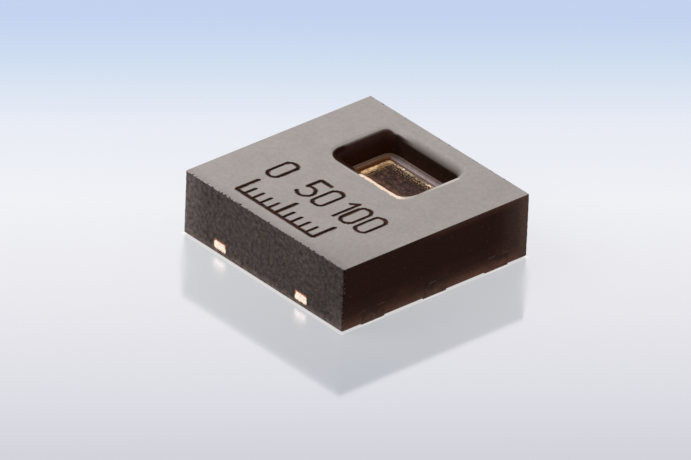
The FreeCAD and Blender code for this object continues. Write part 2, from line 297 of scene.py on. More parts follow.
def sawn_y_colour(look, px, pz, grain):
    """Sides along X: mottled dark grey, with painted light that makes them paler at the left end and the
    base, and painted shade that makes them darker towards the right.
    """
    colour = look.mix(look.range(look.noise(0.6, detail=2), 0.35, 0.65), srgb(72, 63, 60), srgb(66, 58, 56))
    colour = look.mix(look.range(look.noise(0.09, detail=2), 0.45, 0.60, 0, 0.6), colour, srgb(66, 61, 54))
    # Painted light: paler towards the left end.
    colour = look.mix(look.range(px, -1.50, -1.05, 1, 0), colour, srgb(93, 84, 81))
    # Painted shade: darker towards the right.
    colour = look.scaled(colour, look.range(px, 0.70, 1.20, 1, 0.84))
    near = look.product(look.range(px, 1.15, 1.45), look.range(pz, 0.45, 0.15))
    colour = look.mix(near, colour, srgb(80, 72, 68))
    # Painted light from the floor: paler along the base.
    colour = look.mix(look.range(pz, 0.035, 0.130, 0.52, 0), colour, srgb(112, 98, 91))
    mottle = look.noise(0.060, detail=3, roughness=0.65)
    colour = look.scaled(colour, look.range(mottle, 0.30, 0.70, 0.42, 1.55, smooth=False))
    return look.scaled(colour, look.range(grain, 0.25, 0.75, 0.66, 1.34, smooth=False))


def base_x_colour(look, py, pz):
    """Dark reddish brown of the sides along Y, partly their own tone and partly painted shade, with painted
    light from the floor that makes them lighter and redder towards the base.
    """
    # Painted light from the floor: lighter and redder towards the base, here and in the lift below.
    colour = look.ramp(look.range(pz, 0.0, 0.40, smooth=False), [
        (0.06, srgb(108, 84, 72)),
        (0.14, srgb(100, 74, 62)),
        (0.24, srgb(84, 60, 50)),
        (0.36, srgb(68, 46, 37)),
        (0.58, srgb(50, 30, 24)),
        (1.00, srgb(42, 22, 16)),
    ])
    lift = look.product(look.range(pz, 0.03, 0.16, 0.55, 0), look.range(py, -0.3, 0.6))
    top_lift = look.product(look.range(pz, 0.80, 0.90, 0, 0.22, smooth=False), look.range(py, -0.4, 0.2))
    return look.mix(look.larger(lift, top_lift), colour, srgb(122, 78, 64))


# Where the sides along Y get paler towards their far end, and the share of the paler colour there
FAR_END_SPAN = (0.90, 1.50)
FAR_END = [(0.0, 0.0), (0.25, 0.07), (0.42, 0.22), (0.58, 0.33), (0.70, 0.43), (0.80, 0.70), (0.88, 0.92)]


def sawn_x_colour(look, py, pz, grain):
    """Sides along Y, with redder patches low down and a paler far end."""
    patch = look.noise(0.30, detail=2)
    red = look.product(look.range(patch, 0.45, 0.65), look.range(pz, 0.10, 0.40, 1, 0))
    colour = look.mix(look.product(red, 0.32), base_x_colour(look, py, pz), srgb(94, 54, 38))
    far = look.ramp(look.range(py, *FAR_END_SPAN, smooth=False), FAR_END)
    colour = look.mix(far, colour, srgb(90, 70, 62))
    return look.scaled(colour, look.range(grain, 0.25, 0.75, 0.66, 1.34, smooth=False))


def wall_colour(look, nx, pz, grain):
    """Smooth walls of the window: near-black reddish brown with a few golden glints low down, and painted
    light that makes the wall facing +X lighter.
    """
    # Painted light: the wall facing +X is lighter.
    left = look.mix(look.range(pz, 0.70, 0.80), srgb(57, 29, 20), srgb(61, 38, 33))
    colour = look.mix(look.range(nx, 0.2, 0.7), srgb(40, 24, 18), left)
    colour = look.mix(look.range(pz, DIE_TOP, 0.70, 0.5, 0), colour, srgb(58, 32, 22))
    colour = look.scaled(colour, look.range(grain, 0.3, 0.7, 0.75, 1.25, smooth=False))
    glints = look.range(look.noise(0.022, detail=1), 0.745, 0.775)
    return look.mix(look.product(glints, look.range(pz, 0.55, 0.80, 0.6, 0)), colour, srgb(190, 136, 70))


# Share of the light top colour on the window's back rim, by how far up it faces; its fall is painted shade on
# the rounding
BACK_RIM = [(0.06, 0.0), (0.12, 0.06), (0.22, 0.22), (0.515, 0.44), (0.766, 0.68), (0.94, 0.92), (1.0, 1.0)]

# The same for its left rim, and how much lower that lies on the back rim beside it; that painted shade falls
# sooner on the left rim, which turns away from the light
LEFT_RIM = [(0.68, 0.0), (0.755, 0.12), (0.824, 0.30), (0.857, 0.60), (0.883, 0.95), (1.0, 1.0)]
LEFT_RIM_DROP = 0.31

# Line on which the light top ends along the window's left and front: middle and radius of its corner,
# and the places between which it fades out to the right and to the back
RIM_CORNER = (-0.531, 0.402)
RIM_RADIUS = 0.280
RIM_FADE_X = (0.48, 0.50)
RIM_FADE_Y = (0.44, 0.52)

# Painted highlight along the window's front lip: middle of its right corner, the distances from there
# between which it lies, and where it starts at the left
LIP_CORNER = (0.54, 0.29)
LIP_NEAR = 0.098
LIP_FAR = 0.174
LIP_FROM = -0.16


def rim_light(look, px, py, light):
    """Share of the light top colour outside the line, and the shares of its pale edge, a painted highlight,
    and of its inside, painted shade.
    """
    past = look.beyond(look.minus(RIM_CORNER[0], px), look.minus(RIM_CORNER[1], py))
    line = look.minus(past, RIM_RADIUS)
    near = look.product(look.range(px, *RIM_FADE_X, 1, 0), look.range(py, *RIM_FADE_Y, 1, 0))
    inside = look.product(near, look.range(line, 0.004, -0.020))
    edge = look.product(
        near, look.range(line, 0.003, 0.010), look.range(line, 0.034, 0.020),
        look.range(px, -0.60, -0.25), look.range(px, LIP_FROM, LIP_FROM + 0.05, 1, 0),
    )
    return look.product(light, look.rest(inside)), edge, inside


def painted_lip_highlights(look, colour, normal_parts, px, py, out):
    """Painted highlights on the window's lips: bright along the front, pale along the right, with a brown
    band inside the front lip and a mid-brown rounding at its front-right corner. Also gives the bright share.
    """
    nx, ny, nz = normal_parts
    # Painted highlight: a pale line along the right lip.
    right = look.product(
        look.range(nx, -0.01, -0.08), look.range(nx, -0.70, -0.55), look.range(py, 1.09, 1.03),
        look.range(py, 0.40, 0.85, smooth=False), look.range(out, 1.35, 1.40, 1, 0),
    )
    colour = look.mix(right, colour, srgb(206, 197, 191))
    corner = look.product(
        look.range(nz, 0.99, 0.84), look.range(py, 0.10, 0.16), look.range(py, 0.72, 0.35),
        look.range(px, 0.42, 0.60), look.range(px, 0.90, 0.95, 1, 0),
    )
    colour = look.mix(corner, colour, srgb(92, 67, 54))
    past = look.beyond(look.minus(px, LIP_CORNER[0]), look.minus(LIP_CORNER[1], py))
    ragged = look.plus(px, look.range(look.noise(0.09), 0.2, 0.8, -0.05, 0.05))
    wave = look.plus(past, look.range(look.noise(0.05), 0.3, 0.7, -0.008, 0.008))
    # Painted highlight: a bright band along the front lip.
    bright = look.product(
        look.range(wave, LIP_NEAR, LIP_NEAR + 0.025), look.range(wave, LIP_FAR, LIP_FAR - 0.014),
        look.range(ragged, LIP_FROM, LIP_FROM + 0.08), look.range(px, 0.58, 0.72, 1, 0),
        look.range(nz, 0.5, 0.6), look.range(py, 0.42, 0.34),
    )
    inner = look.product(
        look.range(wave, LIP_NEAR + 0.020, LIP_NEAR - 0.005), look.range(ny, 0.04, 0.12),
        look.range(py, 0.44, 0.38), look.range(ragged, LIP_FROM, LIP_FROM + 0.08), look.range(nz, 0.5, 0.6),
        look.range(ragged, 0.48, 0.62, 1, 0.35),
    )
    inner_colour = look.mix(look.range(px, -0.04, 0.16), srgb(150, 112, 78), srgb(74, 46, 34))
    colour = look.mix(inner, colour, inner_colour)
    return look.mix(bright, colour, srgb(252, 230, 210)), bright


# Name of the mark on the housing's points that lie along the rims of the engraved strokes
BURN = "burn"


def compound_look():
    """Moulding compound: light matt top, partly its own tone and partly painted sheen, darker speckled sides,
    and near-black smooth walls in the window.
    """
    look = Look("moulding_compound_finish", Specular_IOR_Level=0.03)
    nx, ny, nz = look.parts(look.normal)
    px, py, pz = look.place_parts()
    fine = look.noise(0.016, detail=2)
    grain = look.noise(0.032, detail=4, roughness=0.75)
    patches = look.noise(0.45, detail=3)

    # The top's light grey is partly the compound's own matt tone and partly painted sheen.
    top = look.scaled(srgb(172, 165, 161), look.range(fine, 0.25, 0.75, 0.93, 1.07, smooth=False))
    top = look.scaled(top, look.range(patches, 0.3, 0.7, 0.96, 1.04, smooth=False))
    clouds = look.noise(0.055, detail=3, roughness=0.65)
    top = look.scaled(top, look.range(clouds, 0.3, 0.7, 0.935, 1.065, smooth=False))
    top = look.mix(look.range(look.noise(0.18, detail=2), 0.42, 0.62, 0, 0.10), top, srgb(182, 160, 162))
    # Painted light and shade: the top fades from lighter at -X to darker at +X, and darker towards the corner
    # at +X, -Y.
    top = look.scaled(top, look.range(px, -1.5, 1.5, 1.035, 0.965, smooth=False))
    top = look.scaled(top, look.range(look.minus(px, py), 1.9, 2.6, 1, 0.88))
    top = look.scaled(top, look.range(py, -1.49, -1.34, 0.88, 1))
    burnt = look.node("ShaderNodeAttribute", attribute_name=BURN).outputs["Fac"]
    uneven = look.range(look.noise(0.11), 0.36, 0.58, 0.40, 0.95)
    top = look.mix(look.product(look.range(burnt, 0.15, 0.75), uneven), top, srgb(80, 53, 41))

    # The sides along Y are darker than the sides along X, partly in their own tone and partly by painted
    # shade.
    along_y = look.range(look.size_of(nx), 0.3, 0.7)
    sawn = look.mix(along_y, sawn_y_colour(look, px, pz, grain), sawn_x_colour(look, py, pz, grain))
    specks = look.range(look.noise(0.020, detail=1), 0.735, 0.775, 0, 0.45)
    sawn = look.mix(specks, sawn, srgb(170, 158, 150))
    # At the corner at +X, -Y: paler worn specks, and painted shade that darkens the corner's chamfer.
    corner = look.range(look.minus(px, py), 2.960, 2.985)
    worn = look.product(corner, look.range(look.noise(0.03, detail=2), 0.45, 0.70, 0, 0.5))
    sawn = look.scaled(look.mix(worn, sawn, srgb(120, 110, 104)), look.range(corner, 0, 1, 1, 0.7))

    out = look.larger(look.size_of(px), look.size_of(py))
    outside = look.range(out, 1.44, 1.46)
    side = look.mix(outside, wall_colour(look, nx, pz, grain), sawn)

    # Share of the light top colour by how far up a face turns; that light tone is partly painted sheen.
    light = look.ramp(nz, [(0.15, 0.0), (0.55, 1.0)])
    # Painted shade on the window's rounded rims, which falls sooner on the left rim.
    drop = look.range(look.plus(nx, ny), 0.30, -0.40, 0, LEFT_RIM_DROP)
    to_back = look.range(ny, -0.12, -0.40)
    rim = look.mix(
        look.product(to_back, look.range(px, -0.62, -0.30)),
        look.ramp(look.plus(nz, drop), LEFT_RIM), look.ramp(nz, BACK_RIM),
    )
    light = look.mix(look.larger(look.range(nx, 0.12, 0.40), to_back), light, rim)
    light, edge, inside = rim_light(look, px, py, light)
    crumbs = look.range(look.noise(0.05, detail=3), 0.46, 0.70, 0, 0.024)
    crumbled = look.range(look.plus(look.size_of(py), crumbs), 1.497, 1.503)
    light = look.product(light, look.rest(crumbled))
    # Painted shade: the rounding inside the line along the front and left rims is dark.
    inside = look.product(inside, look.range(nz, 0.3, 0.6))
    side = look.mix(inside, side, look.mix(look.range(px, -0.30, -0.18), srgb(44, 20, 13), srgb(84, 62, 50)))
    colour = look.mix(light, side, top)
    # Painted highlight: the pale edge along the line.
    colour = look.mix(look.product(edge, light), colour, srgb(196, 181, 176))
    colour, bright = painted_lip_highlights(look, colour, (nx, ny, nz), px, py, out)
    colour = look.mix(look.range(nz, -0.9, -0.5, 1, 0), colour, srgb(78, 72, 70))

    height = look.plus(look.product(grain, 0.7), look.product(fine, 0.3))
    # The painted highlight on the front lip is also made half metallic.
    return look.set(
        Base_Color=colour,
        Metallic=look.product(bright, 0.5),
        Roughness=look.larger(look.range(fine, 0.2, 0.8, 0.5, 0.7), inside),
        Normal=look.bump(height, 0.006, 0.5),
    )


def mark_look():
    """Burnt bottom of the engraved strokes."""
    look = Look("engraved_stroke", Roughness=0.75, Specular_IOR_Level=0.1)
    burn = look.noise(0.06, detail=3)
    colour = look.mix(look.range(burn, 0.35, 0.75), srgb(30, 19, 15), srgb(74, 40, 28))
    return look.set(Base_Color=colour, Normal=look.bump(look.noise(0.012), 0.003, 0.6))


# Sawn end of a tie bar: its width, and the radius of its corners
BAR_WIDTH = 0.230
BAR_ROUND = 0.034


def bar_edge(look, px, pz):
    """Distance past the rounded outline of a tie bar's end, in millimetres, ragged as the saw left it."""
    low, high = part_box("die_paddle")
    middle = (high[0] - low[0]) / 2 / MM - BAR_WIDTH / 2
    centre = (high[0] + low[0]) / 2 / MM
    bar_low = ETCHED_BOTTOM
    bar_high = high[2] / MM
    across = look.size_of(look.minus(look.size_of(look.minus(px, centre)), middle))
    along = look.size_of(look.minus(pz, (bar_low + bar_high) / 2))
    past = look.beyond(
        look.minus(across, BAR_WIDTH / 2 - BAR_ROUND),
        look.minus(along, (bar_high - bar_low) / 2 - BAR_ROUND),
    )
    ragged = look.range(look.noise(0.035), 0.2, 0.8, -0.008, 0.008)
    return look.plus(look.minus(past, BAR_ROUND), ragged)


def copper_look():
    """Copper: pale on the sawn bar ends, painted dark on the terminal ends as shade in the tone of the shaded
    sides, salmon where it is etched.
    """
    look = Look("copper_finish", Specular_IOR_Level=0.03)
    px, py, pz = look.place_parts()
    lines = look.noise(0.03, detail=3, stretch=(0.15, 0.15, 2.5))
    stain = look.noise(0.08, detail=3)
    edge = bar_edge(look, px, pz)
    pale = look.mix(look.range(stain, 0.35, 0.7), srgb(240, 232, 214), srgb(226, 214, 194))
    upper = look.larger(
        look.range(pz, 0.160, 0.185), look.product(look.range(stain, 0.42, 0.56), look.range(pz, 0.11, 0.15))
    )
    rust = look.mix(upper, srgb(222, 190, 162), srgb(150, 88, 62))
    fringe = look.plus(edge, look.product(upper, 0.014))
    sawn = look.mix(look.range(fringe, -0.016, -0.005), pale, rust)
    sawn = look.mix(look.range(edge, -0.001, 0.007), sawn, srgb(70, 58, 53))
    on_y = look.range(look.size_of(py), 1.480, 1.495)
    on_x = look.range(look.size_of(px), 1.480, 1.495)
    etched = look.mix(look.range(stain, 0.3, 0.7), srgb(214, 148, 116), srgb(190, 118, 88))
    # Painted shade: the terminal ends take the dark colour of the sides along Y and no metal shine.
    painted_shade_ends = look.scaled(base_x_colour(look, py, pz), look.range(stain, 0.3, 0.7, 0.60, 1.0))
    # Painted highlight: a thin glint along the top of the terminal ends.
    painted_glint_streak = look.product(
        look.range(pz, 0.186, 0.196), look.range(look.noise(0.12, detail=2), 0.50, 0.60, 0, 0.20)
    )
    painted_shade_ends = look.mix(painted_glint_streak, painted_shade_ends, srgb(150, 124, 116))
    colour = look.mix(on_x, look.mix(on_y, etched, sawn), painted_shade_ends)
    dirt = look.product(on_y, look.range(edge, -0.014, -0.004, 0.5, 1))
    shine = look.product(look.rest(on_x), look.rest(dirt))
    return look.set(
        Base_Color=colour,
        Metallic=shine,
        Roughness=look.range(lines, 0.3, 0.7, 0.32, 0.55),
        Normal=look.bump(lines, 0.003, 0.5),
    )


def solder_look():
    look = Look("solder_finish_coat", Metallic=1.0)
    grains = look.cells(0.02)
    tone = look.noise(0.12)
    colour = look.mix(look.range(tone, 0.3, 0.7), srgb(222, 222, 219), srgb(196, 195, 190))
    return look.set(
        Base_Color=colour,
        Roughness=look.range(grains, 0.1, 0.7, 0.35, 0.55),
        Normal=look.bump(grains, 0.002, 0.5),
    )


def silver_look():
    look = Look("silver_finish", Metallic=1.0, Roughness=0.3)
    tone = look.noise(0.05)
    colour = look.mix(look.range(tone, 0.3, 0.7), srgb(240, 238, 232), srgb(222, 217, 204))
    return look.set(Base_Color=colour, Normal=look.bump(look.noise(0.01), 0.001, 0.5))


def adhesive_look():
    look = Look("adhesive_finish", Roughness=0.55)
    flakes = look.cells(0.012)
    colour = look.mix(look.range(flakes, 0.1, 0.6), srgb(176, 174, 168), srgb(140, 138, 132))
    return look.set(Base_Color=colour, Normal=look.bump(flakes, 0.002, 0.5))


def silicon_look():
    look = Look("silicon_finish", Metallic=0.4, Roughness=0.25)
    lines = look.noise(0.02, stretch=(0.1, 0.1, 3))
    colour = look.mix(look.range(lines, 0.3, 0.7), srgb(92, 95, 102), srgb(70, 72, 78))
    return look.set(Base_Color=colour, Normal=look.bump(lines, 0.001, 0.4))


def wiring_look():
    look = Look("wiring_layers_finish", Roughness=0.3)
    tracks = look.cells(0.05, output="Color")
    colour = look.mix(0.35, srgb(120, 112, 128), tracks)
    return look.set(Base_Color=colour, Normal=look.bump(look.noise(0.02), 0.0005, 0.4))


def top_coat_look():
    """Thin coat over the die, brown between the dam and the ring and orange along its left side."""
    look = Look("top_coat_finish", Roughness=0.3, Specular_IOR_Level=0.2)
    tone = look.range(look.noise(0.09), 0.3, 0.7)
    left = look.range(look.place_parts()[0], -0.60, -0.66)
    brown = look.mix(tone, srgb(124, 98, 80), srgb(90, 64, 52))
    orange = look.mix(tone, srgb(150, 92, 48), srgb(120, 72, 36))
    return look.set(Base_Color=look.mix(left, brown, orange), Normal=look.bump(look.noise(0.02), 0.0005, 0.4))


def aluminium_look():
    look = Look("aluminium_finish", Metallic=1.0, Roughness=0.3)
    tone = look.noise(0.012)
    colour = look.mix(look.range(tone, 0.3, 0.7), srgb(230, 230, 233), srgb(205, 205, 210))
    return look.set(Base_Color=colour, Normal=look.bump(tone, 0.0006, 0.5))


def gold_look():
    """Rough evaporated gold with bright and brown stretches and fine sparkling grains, and painted light that
    makes its left side, which lies in shade, a brighter, richer gold.
    """
    look = Look("gold_finish", Metallic=0.75, Specular_IOR_Level=0.3)
    spots = look.noise(0.044, detail=4, roughness=0.65)
    stretch = look.noise(0.14, detail=2)
    pale = look.ramp(spots, [
        (0.32, srgb(96, 66, 48)),
        (0.43, srgb(170, 138, 110)),
        (0.54, srgb(214, 186, 160)),
        (0.66, srgb(250, 230, 206)),
    ])
    painted_lit_gold = look.ramp(spots, [
        (0.28, srgb(190, 122, 66)),
        (0.40, srgb(250, 187, 126)),
        (0.54, srgb(253, 203, 154)),
        (0.66, srgb(255, 224, 186)),
    ])
    pale = look.scaled(pale, look.range(stretch, 0.36, 0.56, 0.35, 1.0))
    painted_lit_gold = look.scaled(painted_lit_gold, look.range(stretch, 0.36, 0.54, 0.66, 1.25))
    # Painted light: the ring's left side, in shade, takes the brighter gold.
    left = look.range(look.place_parts()[0], -0.50, -0.58)
    return look.set(
        Base_Color=look.mix(left, pale, painted_lit_gold),
        Roughness=look.range(spots, 0.3, 0.7, 0.55, 0.35),
        Normal=look.bump(look.noise(0.016, detail=3), 0.004, 0.7),
    )


def dam_look():
    """Cured photoresist: greyish lilac, brown at the left, with a pale line low on the back wall that is a
    painted highlight, and painted shade low down where it meets the die.
    """
    look = Look("dam_polymer_finish", Roughness=0.3, Specular_IOR_Level=0.4)
    nx, ny, _ = look.parts(look.normal)
    px, _, pz = look.place_parts()
    tone = look.range(look.noise(0.07), 0.3, 0.7)
    left = look.range(px, -0.62, -0.70)
    ledge = look.mix(tone, srgb(140, 121, 115), srgb(122, 104, 97))
    ledge = look.scaled(ledge, look.range(pz, 0.546, 0.562, 1.0, 0.86))
    ledge = look.mix(left, ledge, look.mix(tone, srgb(165, 128, 102), srgb(147, 116, 92)))
    amber = look.mix(tone, srgb(162, 118, 86), srgb(138, 96, 66))
    # Painted highlight: the pale line low on the back and front walls.
    pale = look.mix(tone, srgb(200, 180, 184), srgb(182, 160, 162))
    line = look.product(
        look.range(pz, 0.512, 0.522, 0.3, 1), look.range(pz, 0.552, 0.540),
        look.range(look.size_of(ny), 0.25, 0.60),
    )
    colour = look.mix(line, ledge, pale)
    amber = look.mix(look.range(pz, 0.520, 0.545, 0.8, 0), amber, srgb(134, 76, 30))
    colour = look.mix(look.range(look.size_of(nx), 0.35, 0.75), colour, amber)
    # Painted shade: darker low down, where the dam meets the die.
    painted_foot_shade = look.range(pz, 0.511, 0.530, 0.70, 1.0)
    return look.set(Base_Color=look.scaled(colour, painted_foot_shade), Normal=look.bump(look.noise(0.02), 0.0015, 0.4))


def film_look():
    look = Look("film_polymer_finish", Roughness=0.35)
    tone = look.noise(0.05)
    colour = look.mix(look.range(tone, 0.3, 0.7), srgb(150, 104, 52), srgb(104, 66, 34))
    return look.set(Base_Color=colour, Normal=look.bump(tone, 0.001, 0.4))


def porous_look():
    """Dark porous metal, speckled brown with a violet and olive cast and golden flecks towards its edges."""
    look = Look("porous_metal_finish", Specular_IOR_Level=0.2)
    px, py, _ = look.place_parts()
    base = look.noise(0.055, detail=5, roughness=0.75)
    tint = look.noise(0.13, detail=2)
    flecks = look.noise(0.020, detail=2)
    colour = look.ramp(base, [
        (0.34, srgb(22, 13, 10)),
        (0.46, srgb(55, 33, 27)),
        (0.57, srgb(84, 56, 46)),
        (0.70, srgb(142, 110, 86)),
    ])
    glow = look.product(
        look.range(py, 0.70, 0.65), look.range(py, 0.45, 0.62, 0.2, 1), look.range(px, 0.25, 0.0),
        look.range(tint, 0.40, 0.60, 0.3, 0.8),
    )
    colour = look.mix(glow, colour, srgb(132, 86, 64))
    colour = look.mix(look.range(tint, 0.52, 0.68, 0, 0.35), colour, srgb(70, 52, 62))
    colour = look.mix(look.range(tint, 0.48, 0.32, 0, 0.35), colour, srgb(64, 56, 36))
    edge = look.larger(look.range(px, -0.44, -0.54), look.range(py, 0.93, 1.02))
    sprinkle = look.plus(flecks, look.product(edge, 0.14))
    colour = look.mix(look.range(sprinkle, 0.68, 0.74, 0, 0.85), colour, srgb(236, 200, 150))
    return look.set(
        Base_Color=colour,
        Metallic=look.range(sprinkle, 0.68, 0.74, 0.05, 0.7),
        Roughness=look.range(base, 0.3, 0.7, 0.65, 0.4),
        Normal=look.bump(base, 0.008, 0.8),
    )


looks = {
    "moulding_compound": compound_look(),
    "copper": copper_look(),
    "solder_finish": solder_look(),
    "silver": silver_look(),
    "adhesive": adhesive_look(),
    "silicon": silicon_look(),
    "wiring_layers": wiring_look(),
    "top_coat": top_coat_look(),
    "aluminium": aluminium_look(),
    "gold": gold_look(),
    "dam_polymer": dam_look(),
    "film_polymer": film_look(),
    "porous_metal": porous_look(),
}


# Shared calls for the pieces

# Distance within which points are one, and the angle in degrees below which faces are one flat face
MERGE = 1e-4
FLAT_ANGLE = 0.5


def piece_from(bm, name, slot, replaced, materials=None, smooth_angle=30):
    """Makes the finished piece from a bmesh, in place of a CAD node."""
    bmesh.ops.recalc_face_normals(bm, faces=bm.faces)
    mesh = bpy.data.meshes.new(name)
    bm.to_mesh(mesh)
    bm.free()
    for material in materials or [looks[slot]]:
        mesh.materials.append(material)
    mesh.polygons.foreach_set("use_smooth", [True] * len(mesh.polygons))
    mesh.set_sharp_from_angle(angle=math.radians(smooth_angle))
    piece = bpy.data.objects.new(name, mesh)
    scene.collection.objects.link(piece)
    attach(piece, "root")
    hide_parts(replaced)


def cut_copy(node, planes):
    """Copy of a CAD node's mesh, cut by planes so that it has points to shape."""
    bm = bmesh.new()
    bm.from_mesh(frame["nodes"][node].data)
    bmesh.ops.remove_doubles(bm, verts=bm.verts, dist=MERGE * MM)
    bmesh.ops.dissolve_limit(bm, angle_limit=math.radians(FLAT_ANGLE), verts=bm.verts, edges=bm.edges)
    for axis, places in planes.items():
        direction = Vector((0, 0, 0))
        direction["xyz".index(axis)] = 1
        for place in places:
            geometry = bm.verts[:] + bm.edges[:] + bm.faces[:]
            bmesh.ops.bisect_plane(
                bm, geom=geometry, dist=MERGE * MM, plane_co=direction * place * MM, plane_no=direction
            )
    return bm


def evenly(low, high, step):
    """Even places between two ends, without the ends."""
    count = max(1, round((high - low) / step))
    return [low + (high - low) * i / count for i in range(1, count)]


def wobble(x, y, z, size, seed=0.0):
    """Smooth noise from -1 to 1 at a point, with waves of the given size."""
    return noise.noise(Vector((x, y, z)) / size + Vector((seed, seed * 1.7, seed * 2.3)))


# Housing: the steps between its points, and the wear of its top edges and corners

POINT_STEP = 0.030
LEVEL_STEP = 0.050
EDGE_BAND = 0.016
EDGE_CHIP = 0.040
EDGE_WEAR = 0.002
CORNER_WEAR = 0.006
NEAR_CORNER_WEAR = 0.014
NEAR_CORNER_DROP = 0.010
TOUCH = 0.001

# Engraved strokes: how far down their faces lie at most and at least, where the scale's area ends at the
# back and at the sides, and how ragged their rims are
STROKE_DEEPEST = 0.0135
STROKE_SHALLOWEST = 0.0004
SCALE_BACK = -0.2
SCALE_SIDE = 1.45
STROKE_RAGGED = 0.004


def housing_piece():
    """Housing with small chips along its top edges, worn corners and ragged engraved strokes."""
    inner = BODY_HALF - EDGE_BAND
    band_bottom = BODY_TOP - EDGE_BAND
    across = [-inner, *evenly(-inner, inner, POINT_STEP), inner]
    levels = [*evenly(BODY_BOTTOM, band_bottom, LEVEL_STEP), band_bottom]
    bm = cut_copy("housing", {"x": across, "y": across, "z": levels})
    burn = bm.verts.layers.float.new(BURN)
    for face in bm.faces:
        middle = face.calc_center_median() / MM
        sunk = BODY_TOP - STROKE_DEEPEST < middle.z < BODY_TOP - STROKE_SHALLOWEST
        on_scale = middle.y < SCALE_BACK and max(abs(middle.x), abs(middle.y)) < SCALE_SIDE
        face.material_index = 1 if sunk and on_scale else 0
    for vertex in bm.verts:
        x, y, z = vertex.co / MM
        on_x = abs(x) > BODY_HALF - TOUCH
        on_y = abs(y) > BODY_HALF - TOUCH
        inward = Vector((-math.copysign(1, x) if on_x else 0, -math.copysign(1, y) if on_y else 0, 0))
        if on_x and on_y:
            wear = CORNER_WEAR * (1 + 0.6 * wobble(x, y, z, 0.07, 4.4))
            if x > 0 > y and z > band_bottom - TOUCH:
                wear = NEAR_CORNER_WEAR
                if z > BODY_TOP - TOUCH:
                    vertex.co.z -= NEAR_CORNER_DROP * MM
            vertex.co += inward * wear * MM
        elif (on_x or on_y) and z > BODY_TOP - TOUCH:
            chip = EDGE_WEAR + EDGE_CHIP * max(0.0, wobble(x, y, z, 0.055, 3.1) - 0.1) ** 1.5
            vertex.co += inward * chip * MM
            vertex.co.z -= chip * 0.4 * MM
        elif {face.material_index for face in vertex.link_faces} == {0, 1}:
            shift = Vector((wobble(x, y, z, 0.03, 1.3), wobble(x, y, z, 0.03, 5.7), 0))
            vertex.co += shift * STROKE_RAGGED * MM
            vertex[burn] = 1.0
    materials = [looks["moulding_compound"], mark_look()]
    piece_from(bm, "housing_body", "moulding_compound", "housing", materials)


housing_piece()


# Sawn copper: the depth of the saw's marks, the band at a sawn end, and the steps between its points

SAW_RELIEF = 0.005
SAW_BAND = 0.020
SAWN_STEP = 0.020
SAWN_LEVEL_STEP = 0.018


def saw_marks(bm, sideways):
    """Dents the sawn ends of a copper piece; sideways is the axis, 0 or 1, that the saw ran across."""
    for vertex in bm.verts:
        place = vertex.co / MM
        if abs(place[sideways]) > BODY_HALF - TOUCH:
            smear = wobble(place.x * 0.4, place.y * 0.4, place.z, 0.018, 2.2)
            lump = wobble(*place, 0.05, 6.5)
            depth = SAW_RELIEF * min(1.0, max(0.0, 0.45 + 0.5 * smear + 0.4 * lump))
            vertex.co[sideways] -= math.copysign(depth, place[sideways]) * MM


def paddle_piece():
    """Die paddle with sawn ends on its tie bars."""
    end = BODY_HALF - SAW_BAND
    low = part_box("die_paddle")[0] / MM
    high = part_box("die_paddle")[1] / MM
    bm = cut_copy("die_paddle", {
        "x": evenly(low.x, high.x, SAWN_STEP),
        "y": [-end, end],
        "z": evenly(low.z, high.z, SAWN_LEVEL_STEP),
    })
    saw_marks(bm, 1)
    piece_from(bm, "paddle_body", "copper", "die_paddle")


def terminal_piece(node):
    """Terminal with a sawn end."""
    end = BODY_HALF - SAW_BAND
    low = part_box(node)[0] / MM
    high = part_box(node)[1] / MM
    bm = cut_copy(node, {
        "x": [math.copysign(end, low.x)],
        "y": evenly(low.y, high.y, SAWN_STEP),
        "z": evenly(low.z, high.z, SAWN_LEVEL_STEP),
    })
    saw_marks(bm, 0)
    piece_from(bm, node + "_body", "copper", node)


paddle_piece()
for part in frame["record"]["subparts"]:
    if "terminal" in part["node"] and part["material_slot"] == "copper":
        terminal_piece(part["node"])


# Floor of the window

ARC_STEPS = 10
SIDE_STEP = 0.012
SHARPEST_RADIUS = 0.045


def window_loop(inset):
    """Points round the window's wall line, moved inwards by the inset. Every inset gives as many points."""
    radius = max(WINDOW_RADIUS - inset, SHARPEST_RADIUS)
    left = WINDOW_LEFT + inset + radius
    right = WINDOW_RIGHT - inset - radius
    front = WINDOW_FRONT + inset + radius
    back = WINDOW_BACK - inset - radius
    corners = [(right, front, -90), (right, back, 0), (left, back, 90), (left, front, 180)]
    long_count = round((WINDOW_RIGHT - WINDOW_LEFT) / SIDE_STEP)
    short_count = round((WINDOW_BACK - WINDOW_FRONT) / SIDE_STEP)
    points = []
    for number, (x, y, start) in enumerate(corners):
        for i in range(ARC_STEPS + 1):
            turn = math.radians(start + 90 * i / ARC_STEPS)
            points.append((x + radius * math.cos(turn), y + radius * math.sin(turn)))
        next_x, next_y, next_start = corners[(number + 1) % 4]
        turn = math.radians(next_start)
        end = (next_x + radius * math.cos(turn), next_y + radius * math.sin(turn))
        begin = points[-1]
        count = short_count if number % 2 == 0 else long_count
        for i in range(1, count):
            share = i / count
            points.append((begin[0] + (end[0] - begin[0]) * share, begin[1] + (end[1] - begin[1]) * share))
    return points


def band(profile, shaped):
    """Closed band round the window floor, with a section of (inset, level) points that shaped may move."""
    bm = bmesh.new()
    loops = []
    for inset, level in profile:
        loops.append([bm.verts.new(mm(*shaped(x, y, level))) for x, y in window_loop(inset)])
    for one, two in zip(loops, loops[1:] + loops[:1]):
        for i in range(len(one)):
            j = (i + 1) % len(one)
            bm.faces.new((one[i], one[j], two[j], two[i]))
    return bm


